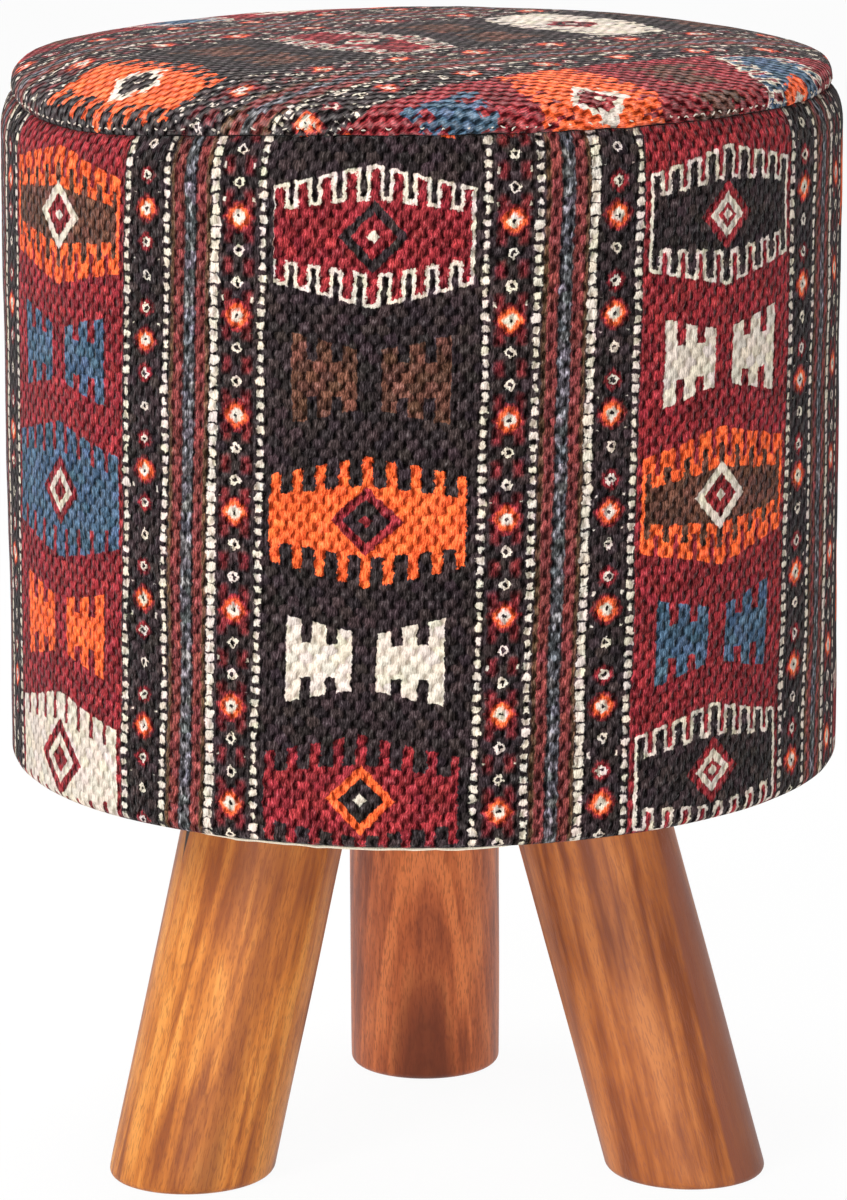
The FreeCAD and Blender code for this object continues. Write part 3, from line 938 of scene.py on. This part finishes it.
def thicken(piece, thickness):
    """Gives a sheet its thickness on the inner side."""
    wall = piece.modifiers.new("thickness", "SOLIDIFY")
    wall.thickness = thickness
    wall.offset = -1
    wall.use_even_offset = False


# The padding's unevenness, the puckers, the sag of the seam and the groove of the back join
BROAD_SWELL = 16
FINE_SWELL = 55
PUCKERS = 26
PUCKER_REACH = 0.007
SAG_START = 0.118
SAG_BELOW = band_high.z - 0.06
JOIN_TURN = math.radians(183)
JOIN_DEPTH = 0.0012
JOIN_HALF = 0.0025

# Room between the two covers at the seam, and where the top's roll and its swelling set in
LIP_GAP = 0.0004
ROLL_GAP = 0.0003
ROLL_SKIP = math.radians(3)
SWELL_START = 0.004


def turn_of(place):
    """Angle round the seat from the front, rising to the right."""
    return math.atan2(place.x, -place.y)


def turn_from(turn, start):
    """Angle from one turn to another, the short way round."""
    return (turn - start + math.pi) % math.tau - math.pi


def round_wave(turn, size, row):
    """Smooth noise round the seat; a larger size gives shorter waves."""
    return noise.noise(Vector((math.cos(turn) * size, math.sin(turn) * size, row)))


def ease(value, start, end):
    """A smooth share from 0 at the start to 1 at the end."""
    share = min(1, max(0, (value - start) / (end - start)))
    return share * share * (3 - 2 * share)


def swell(place, amount):
    """How far the padding pushes the cloth out at a place, in metres."""
    broad = noise.noise(place * BROAD_SWELL)
    fine = noise.noise(place * FINE_SWELL + Vector((3, 5, 7)))
    return amount * (0.7 * broad + 0.3 * fine)


def gather(turn, gap, depth):
    """Puckers along the seam: deepest at the seam and gone a finger's width away from it."""
    return depth * round_wave(turn, PUCKERS, 0.4) * math.exp(-abs(gap) / PUCKER_REACH)


def sag(place, seat):
    """How far the sewn seam hangs below its level on this side of the seat."""
    away = turn_from(turn_of(place), seat.seam_sag_turn)
    return seat.seam_sag * math.exp(-((away / seat.seam_sag_spread) ** 2) / 2)


def sag_top(mesh, seat):
    """Lets the outer part of a mesh under or in the top panel follow the seam."""
    for vertex in mesh.verts:
        share = ease(vertex.co.xy.length, SAG_START, top_high.x) * ease(vertex.co.z, SAG_BELOW, band_high.z)
        vertex.co.z -= sag(vertex.co, seat) * share


class STOOL_OT_side_band(bpy.types.Operator):
    """Kilim band round the drum: hem, rolled lower edge, side and shoulder"""

    bl_idname = "stool.side_band"
    bl_label = "Side band"

    def execute(self, context):
        seat = context.scene.stool_seat
        radius, bottom, seam = band_high.x, band_low.z, band_high.z
        corner_top = bottom + seat.corner_height
        hem_outer = radius - seat.corner_reach
        bend = (seat.seam_draw**2 + seat.shoulder_height**2) / (2 * seat.seam_draw)
        shoulder = (radius - bend, seam - seat.shoulder_height)
        section = Section((hem_outer - seat.hem_width, bottom))
        section.line((hem_outer, bottom), 8)
        section.arc((hem_outer, corner_top), (seat.corner_reach, seat.corner_height), -QUARTER, 0, 9)
        to_corner_top = section.ways()[-1]
        section.line((radius, shoulder[1]), 46)
        section.arc(shoulder, (bend, bend), 0, math.asin(seat.shoulder_height / bend), 7)
        section.line((radius - seat.seam_draw - seat.valley_depth, seam - LIP_GAP), 3)
        mesh, way = section.spin()
        face_outwards(mesh)
        self.lay_cloth(mesh, way, to_corner_top, seat)
        self.shape(mesh, radius, seam, seat)
        material = kilim_finish(context.scene.stool_print)
        piece = add_piece("kilim_side_band", mesh, material, ["side_cover"])
        thicken(piece, seat.cloth_thickness)
        return {"FINISHED"}

    def lay_cloth(self, mesh, way, to_corner_top, seat):
        """Maps the cloth round the drum; its ends meet at the back."""
        cloth = mesh.loops.layers.uv.new(CLOTH_MAP)
        for face in mesh.faces:
            middle = turn_of(face.calc_center_median())
            for loop in face.loops:
                place = loop.vert.co
                turn = turn_of(place)
                turn += math.tau * round((middle - turn) / math.tau)
                rise = loop.vert[way] - to_corner_top + seat.corner_height
                rise -= sag(place, seat) * ease(place.z, SAG_BELOW, band_high.z)
                loop[cloth].uv = (turn * band_high.x, rise)

    def shape(self, mesh, radius, seam, seat):
        """Padding under the cloth, puckers at the seam and the join at the back."""
        for vertex in mesh.verts:
            outward = Vector((vertex.co.x, vertex.co.y, 0)).normalized()
            turn = turn_of(vertex.co)
            push = swell(vertex.co, seat.padding_swell) + gather(turn, vertex.co.z - seam, seat.pucker_depth)
            push -= JOIN_DEPTH * math.exp(-((turn_from(turn, JOIN_TURN) * radius / JOIN_HALF) ** 2))
            if vertex.co.xy.length > radius - seat.corner_reach:
                vertex.co += outward * push
            vertex.co.z -= sag(vertex.co, seat) * ease(vertex.co.z, SAG_BELOW, seam)


class STOOL_OT_top_panel(bpy.types.Operator):
    """Kilim panel over the seat: rolled edge and low crown"""

    bl_idname = "stool.top_panel"
    bl_label = "Top panel"

    def execute(self, context):
        seat = context.scene.stool_seat
        seam_radius, seam = band_high.x - seat.seam_draw, band_high.z
        roll = seat.top_edge_radius
        edge_start = -math.asin(seat.top_bulge_height / roll)
        edge_end = QUARTER - seat.crown_edge_angle
        flat_start = QUARTER - seat.crown_flat_angle
        edge = (seam_radius - roll * math.cos(edge_start), seam + seat.top_bulge_height)
        edge_top = edge[0] + roll * math.cos(edge_end)
        slope_radius = (edge_top - seat.crown_flat_radius) / (math.cos(edge_end) - math.cos(flat_start))
        slope = (edge[0] + math.cos(edge_end) * (roll - slope_radius),
                 edge[1] + math.sin(edge_end) * (roll - slope_radius))
        crown_radius = slope_radius + slope[0] / math.cos(flat_start)
        crown_level = slope[1] + math.sin(flat_start) * (slope_radius - crown_radius)

        section = Section((seam_radius - seat.valley_depth, seam + LIP_GAP))
        section.line((seam_radius, seam + ROLL_GAP), 2)
        section.arc(edge, (roll, roll), edge_start + ROLL_SKIP, edge_end, 10, first=0)
        section.arc(slope, (slope_radius, slope_radius), edge_end, flat_start, 14)
        section.arc((0, crown_level), (crown_radius, crown_radius), flat_start, QUARTER, 12)
        mesh, way = section.spin()
        face_outwards(mesh)
        design = context.scene.stool_print
        self.lay_cloth(mesh, way, section.ways()[-1], design)
        self.shape(mesh, seam, seat)
        piece = add_piece("kilim_top_panel", mesh, kilim_finish(design), ["top_cover"])
        thicken(piece, seat.cloth_thickness)
        return {"FINISHED"}

    def lay_cloth(self, mesh, way, whole, design):
        """Maps the cloth flat from the middle out, turned as it was cut."""
        cloth = mesh.loops.layers.uv.new(CLOTH_MAP)
        across = Vector((math.sin(TOP_WARP_ANGLE), -math.cos(TOP_WARP_ANGLE)))
        warp = Vector((math.cos(TOP_WARP_ANGLE), math.sin(TOP_WARP_ANGLE)))
        black = design.black_middle + 2 * design.half_repeat * TOP_REPEATS
        for face in mesh.faces:
            for loop in face.loops:
                flat = loop.vert.co.xy.normalized() * (whole - loop.vert[way])
                up = flat.dot(warp) / MILLIMETRE + TOP_WARP_START
                along = flat.dot(across) / MILLIMETRE - TOP_BLACK_MIDDLE + black + design.lean * up
                loop[cloth].uv = (along * MILLIMETRE, up * MILLIMETRE)

    def shape(self, mesh, seam, seat):
        """Soft unevenness of the padding and puckers at the seam."""
        for vertex in mesh.verts:
            gap = vertex.co.z - seam
            push = swell(vertex.co, seat.padding_swell) * min(1, max(0, gap / SWELL_START))
            push += gather(turn_of(vertex.co) + 0.5, gap, seat.pucker_depth)
            vertex.co += vertex.normal * push
        sag_top(mesh, seat)


# White stitches: how they stray, tilt and bend, the share of them seen, their half lengths as shares of a
# stitch, and where they lie on the top's roll; then the dark thread down in the seam, dark also as painted
# shade
STITCH_STRAY = 0.35
STITCH_TILT = math.radians(20)
STITCH_BEND = 1.6
STITCHES_SEEN = 0.72
STITCH_HALF = 0.2
STITCH_HALF_MORE = 0.3
STITCH_RISE = 0.0024
STITCH_RISE_SPREAD = 0.0009
STITCH_OUT = 0.00005
THREAD_IN = 0.0026
THREAD_DROP = 0.0001
THREAD_RADIUS = 0.0007
THREAD_OVERLAP = 1.05


class STOOL_OT_stitches(bpy.types.Operator):
    """White stitches on the edge of the top panel, and the dark thread down in the seam, also painted shade
    there
    """

    bl_idname = "stool.stitches"
    bl_label = "Stitches"

    def execute(self, context):
        seat = context.scene.stool_seat
        white = bmesh.new()
        dark = bmesh.new()
        bead = bmesh.new()
        bmesh.ops.create_uvsphere(
            bead, u_segments=6, v_segments=7, radius=1, matrix=Matrix.Rotation(QUARTER, 4, "Y"))
        radius = top_high.x
        dark_half = math.pi * radius / seat.stitch_count * THREAD_OVERLAP
        for count in range(seat.stitch_count):
            chance = noise.cell_vector(Vector((count * 3.7 + 0.5, 1.5, 2.5)))
            turn = math.tau * (count + STITCH_STRAY * (chance.x - 0.5)) / seat.stitch_count
            facing = Matrix.Rotation(turn, 4, "Z")
            seam = band_high.z - sag(facing @ Vector((0, -radius, 0)), seat)
            if chance.y < STITCHES_SEEN:
                level = seam + STITCH_RISE + STITCH_RISE_SPREAD * (chance.y - 0.5)
                tilt = Matrix.Rotation(STITCH_TILT * (1 if count % 2 else -1) + chance.y - 0.5, 4, "Y")
                place = facing @ Matrix.Translation((0, -radius - STITCH_OUT, level)) @ tilt
                half = seat.stitch_length * (STITCH_HALF + STITCH_HALF_MORE * chance.z)
                bend = STITCH_BEND * (chance.x - 0.5)
                self.lay_stitch(white, bead, place, half, seat.stitch_width / 2, bend)
            # A dark thread runs round the seam's valley; its dark colour is partly painted shade of the
            # valley
            valley = facing @ Matrix.Translation((0, -radius + THREAD_IN, seam - THREAD_DROP))
            self.lay_stitch(dark, bead, valley, dark_half, THREAD_RADIUS, 0)
        bead.free()
        design = context.scene.stool_print
        add_piece("seam_stitches", white, thread_finish("white_thread", design.cream), [])
        add_piece("seam_thread_line", dark, thread_finish("dark_thread", design.black),
                  ["seam_thread"])
        return {"FINISHED"}

    def lay_stitch(self, mesh, bead, place, half, thick, bend):
        """One rounded length of thread along X, bent up at its ends, then put in its place."""
        copies = {}
        for vertex in bead.verts:
            reach, side, up = vertex.co
            bent = Vector((reach * half, side * thick, up * thick + bend * half * reach**2))
            copies[vertex] = mesh.verts.new(place @ bent)
        for face in bead.faces:
            mesh.faces.new([copies[vertex] for vertex in face.verts])


# Calico: the step up to the board, and the loose edge at the front
CALICO_STEP = 0.003
LOOSE_TURN = math.radians(-10)
LOOSE_SPREAD = math.radians(30)
LOOSE_HANG = 0.0014
LOOSE_WAVE = 0.0009
LOOSE_RIPPLE = 0.0005
TUCK = 0.0007


class STOOL_OT_calico(bpy.types.Operator):
    """Calico that closes the underside and peeps out below the hem"""

    bl_idname = "stool.calico"
    bl_label = "Calico"

    def execute(self, context):
        seat = context.scene.stool_seat
        edge, rim, board = calico_high.x, calico_low.z, leg_high.z
        hem_inner = band_high.x - seat.corner_reach - seat.hem_width
        section = Section((edge, rim))
        section.line((hem_inner, rim), 14)
        section.line((hem_inner - CALICO_STEP, board), 4)
        section.line((0, board), 20)
        mesh, _ = section.spin(steps=240)
        for face in mesh.faces:
            if face.normal.z > 0:
                face.normal_flip()
        for vertex in mesh.verts:
            self.droop(vertex, hem_inner, edge)
        piece = add_piece("calico_base", mesh, calico_finish(), ["base_cloth"])
        thicken(piece, calico_high.z - board)
        return {"FINISHED"}

    def droop(self, vertex, hem_inner, edge):
        """The loose edge is tucked up, except at the front, where it waves and hangs a little."""
        reach = vertex.co.xy.length
        if reach <= hem_inner:
            return
        share = (reach - hem_inner) / (edge - hem_inner)
        turn = turn_of(vertex.co)
        hang = LOOSE_HANG + LOOSE_WAVE * round_wave(turn, 6, 2.2) + LOOSE_RIPPLE * round_wave(turn, 19, 5.1)
        loose = math.exp(-(((turn - LOOSE_TURN) / LOOSE_SPREAD) ** 4))
        vertex.co.z -= share**2 * (loose * hang - (1 - loose) * TUCK)


# Foam: rounding of its edges, room under the top panel and at the seam, and room round the wall
PAD_EDGE = 0.005
PAD_WAIST = 0.0105
PAD_LEAN = 0.001
PAD_CLEARANCE = 0.003
WRAP_EDGE = 0.003
WALL_GAP = 0.0003


class STOOL_OT_padding(bpy.types.Operator):
    """Foam over the top board and round the wall, under the covers"""

    bl_idname = "stool.padding"
    bl_label = "Padding"

    def execute(self, context):
        foam = foam_finish()
        pad = add_piece("seat_foam_pad", self.pad(context.scene.stool_seat), foam, ["seat_foam"])
        wrap = add_piece("wall_foam_wrap", self.wrap(), foam, ["side_foam"])
        return {"FINISHED"}

    def pad(self, seat):
        """Pad on the board, waisted at the seam and domed above it."""
        low, high, edge = seat_foam_low, seat_foam_high, PAD_EDGE
        waist = band_high.x - PAD_WAIST
        dome_start = band_high.z + edge
        dome = (waist - PAD_LEAN, high.z - PAD_CLEARANCE - dome_start)
        section = Section((0, low.z))
        section.line((high.x - edge, low.z), 10)
        section.arc((high.x - edge, low.z + edge), (edge, edge), -QUARTER, 0, 6)
        section.line((waist, band_high.z), 3)
        section.line((dome[0], dome_start), 2)
        section.arc((0, dome_start), dome, 0, QUARTER, 16)
        mesh, _ = section.spin(steps=120)
        sag_top(mesh, seat)
        return mesh

    def wrap(self):
        """Sheet round the wall, just clear of it."""
        low, high, edge = side_foam_low, side_foam_high, WRAP_EDGE
        inner = wall_high.x + WALL_GAP
        shoulder = (high.x - 2 * edge, high.z - 2 * edge)
        section = Section((inner, low.z))
        section.line((high.x - edge, low.z))
        section.arc((high.x - edge, low.z + edge), (edge, edge), -QUARTER, 0, 4)
        section.line((high.x, shoulder[1]), 12)
        section.arc(shoulder, (2 * edge, 2 * edge), 0, QUARTER, 5)
        section.line((inner, high.z))
        mesh, _ = section.spin(steps=120, closed=True)
        return mesh


# Waves of the sanded sides, and how far they stay off the foot and the top
SIDE_WAVES = 40
GRAIN_WAVES = 14
FOOT_MARGIN = 0.004
TOP_MARGIN = 0.002


class STOOL_OT_legs(bpy.types.Operator):
    """Three splayed legs, cut level top and bottom"""

    bl_idname = "stool.legs"
    bl_label = "Legs"

    def execute(self, context):
        for leg in LEGS:
            self.make(leg, context.scene.stool_legs)
        return {"FINISHED"}

    def make(self, leg, sizes):
        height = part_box(leg.name + "_leg")[1].z
        turn, lean = math.radians(leg.turn), math.radians(leg.lean)
        outward = Vector((math.cos(turn), math.sin(turn), 0))
        foot = outward * (sizes.circle_radius + height * math.tan(lean))
        tilt = Matrix.Rotation(lean, 4, Vector((0, 0, 1)).cross(-outward))
        mesh = bmesh.new()
        radius = leg.diameter / 2
        bmesh.ops.create_cone(mesh, segments=96, radius1=radius, radius2=radius, depth=4 * height)
        bmesh.ops.transform(mesh, matrix=Matrix.Translation(foot) @ tilt, verts=mesh.verts)
        for level, direction in ((0, -1), (height, 1)):
            parts = mesh.verts[:] + mesh.edges[:] + mesh.faces[:]
            bmesh.ops.bisect_plane(
                mesh, geom=parts, plane_co=(0, 0, level), plane_no=(0, 0, direction), clear_outer=True)
            bmesh.ops.contextual_create(mesh, geom=self.rim(mesh, level))
        bmesh.ops.recalc_face_normals(mesh, faces=mesh.faces)
        for level, rounding, segments in ((0, sizes.foot_edge_radius, 6), (height, sizes.top_edge_radius, 3)):
            bmesh.ops.bevel(
                mesh, geom=self.rim(mesh, level), offset=rounding, offset_type="OFFSET", affect="EDGES",
                segments=segments, profile=0.5, material=-1)
        sides = [edge for edge in mesh.edges if edge.calc_length() > height / 2]
        bmesh.ops.subdivide_edges(mesh, edges=sides, cuts=31, use_grid_fill=True)
        along = tilt @ Vector((0, 0, 1))
        for vertex in mesh.verts:
            if FOOT_MARGIN < vertex.co.z < height - TOP_MARGIN:
                spine = foot + along * (vertex.co - foot).dot(along)
                push = noise.noise(vertex.co * Vector((SIDE_WAVES, SIDE_WAVES, GRAIN_WAVES)))
                vertex.co += (vertex.co - spine).normalized() * push * sizes.unevenness
        finish = leg_finish(leg, foot, tilt.to_euler())
        add_piece(leg.name + "_leg_turned", mesh, finish, [leg.name + "_leg"])

    def rim(self, mesh, level):
        """Edges of a level cut."""
        return [edge for edge in mesh.edges if all(abs(vertex.co.z - level) < 1e-6 for vertex in edge.verts)]


class STOOL_OT_inner_finishes(bpy.types.Operator):
    """Finishes of the boards, battens and fasteners inside the drum"""

    bl_idname = "stool.inner_finishes"
    bl_label = "Inner finishes"

    def execute(self, context):
        plywood, batten, zinc = plywood_finish(), batten_finish(), zinc_finish()
        for name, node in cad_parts.items():
            if node.hide_render:
                continue
            material = batten if name.startswith("batten") else zinc
            if name.endswith(("board", "wall")):
                material = plywood
            for slot in node.material_slots:
                slot.material = material
        return {"FINISHED"}


LAMP_AIM = Vector((0, 0, 0.25))
FLOOR_GLOW = 0.95
SENSOR_WIDTH = 36


class STOOL_OT_stage(bpy.types.Operator):
    """Pale floor, soft lamps and the camera"""

    bl_idname = "stool.stage"
    bl_label = "Stage"

    def execute(self, context):
        stage = context.scene.stool_stage
        self.make_floor(stage)
        self.make_sky(context, stage)
        self.make_lamp("key", (-1.6, -2.0, 1.9), 1.1, stage.key_power)
        self.make_lamp("fill", (0.0, -2.4, 0.25), 1.7, stage.fill_power)
        self.make_lamp("overhead", (-0.2, 0.5, 2.2), 1.2, stage.overhead_power)
        self.make_camera(context, stage)
        context.scene.view_settings.view_transform = "Standard"
        return {"FINISHED"}

    def make_floor(self, stage):
        """A floor that looks white and still takes a faint shadow."""
        mesh = bmesh.new()
        bmesh.ops.create_grid(mesh, x_segments=1, y_segments=1, size=stage.floor_size / 2)
        finish = Finish("pale_floor")
        finish.surface(Base_Color=grey(0.86), Roughness=0.9, Specular_IOR_Level=0.1)
        ray = finish.node("ShaderNodeLightPath", output="Is Camera Ray")
        seen = ray.most(ray.also("Is Glossy Ray")).most(ray.also("Is Transmission Ray"))
        glow = finish.node("ShaderNodeEmission", {}, {"Color": WHITE, "Strength": 1.0})
        finish.cover(seen * FLOOR_GLOW, glow)
        floor = add_mesh("floor", mesh, finish.made)

    def make_sky(self, context, stage):
        """White to the camera, and an even light on everything else."""
        sky = Finish("studio", "worlds", "Background")
        sky.surface(Color=WHITE, Strength=stage.sky)
        seen = sky.node("ShaderNodeLightPath", output="Is Camera Ray")
        sky.cover(seen, sky.node("ShaderNodeBackground", {}, {"Color": WHITE}))
        context.scene.world = sky.made

    def make_lamp(self, name, place, size, power):
        lamp = bpy.data.lights.new(name, "AREA")
        lamp.shape = "DISK"
        lamp.size = size
        lamp.energy = power
        holder = add_object(name, lamp)
        holder.location = place
        holder.rotation_euler = (LAMP_AIM - Vector(place)).to_track_quat("-Z", "Y").to_euler()

    def make_camera(self, context, stage):
        camera = bpy.data.cameras.new("camera")
        camera.lens = stage.lens
        camera.sensor_width = SENSOR_WIDTH
        holder = add_object("camera", camera)
        back = Vector((0, -math.cos(stage.camera_pitch), math.sin(stage.camera_pitch)))
        place = Vector((0, 0, stage.camera_aim)) + back * stage.camera_distance
        look = Matrix.Rotation(QUARTER - stage.camera_pitch, 4, "X")
        holder.matrix_world = Matrix.Translation(place) @ look @ Matrix.Rotation(stage.camera_roll, 4, "Z")
        context.scene.camera = holder


class STOOL_PT_panel(bpy.types.Panel):
    """Lists the steps that build the stool"""

    bl_idname = "STOOL_PT_panel"
    bl_label = "Kilim stool"
    bl_space_type = "VIEW_3D"
    bl_region_type = "UI"
    bl_category = "Stool"

    def draw(self, context):
        for operator in OPERATORS:
            self.layout.operator(operator.bl_idname)


OPERATORS = (
    STOOL_OT_side_band, STOOL_OT_top_panel, STOOL_OT_stitches, STOOL_OT_calico, STOOL_OT_padding,
    STOOL_OT_legs, STOOL_OT_inner_finishes, STOOL_OT_stage,
)
SETTINGS = {
    "stool_seat": SeatSettings, "stool_print": PrintSettings, "stool_legs": LegSettings,
    "stool_stage": StageSettings,
}


def register():
    for group in SETTINGS.values():
        bpy.utils.register_class(group)
    for name, group in SETTINGS.items():
        setattr(bpy.types.Scene, name, PointerProperty(type=group))
    for part in OPERATORS + (STOOL_PT_panel,):
        bpy.utils.register_class(part)


def unregister():
    for part in reversed(OPERATORS + (STOOL_PT_panel,)):
        bpy.utils.unregister_class(part)
    for name, group in SETTINGS.items():
        delattr(bpy.types.Scene, name)
        bpy.utils.unregister_class(group)


def main():
    register()
    bpy.ops.stool.side_band()
    bpy.ops.stool.top_panel()
    bpy.ops.stool.stitches()
    bpy.ops.stool.calico()
    bpy.ops.stool.padding()
    bpy.ops.stool.legs()
    bpy.ops.stool.inner_finishes()
    bpy.ops.stool.stage()


if __name__ == "__main__":
    main()
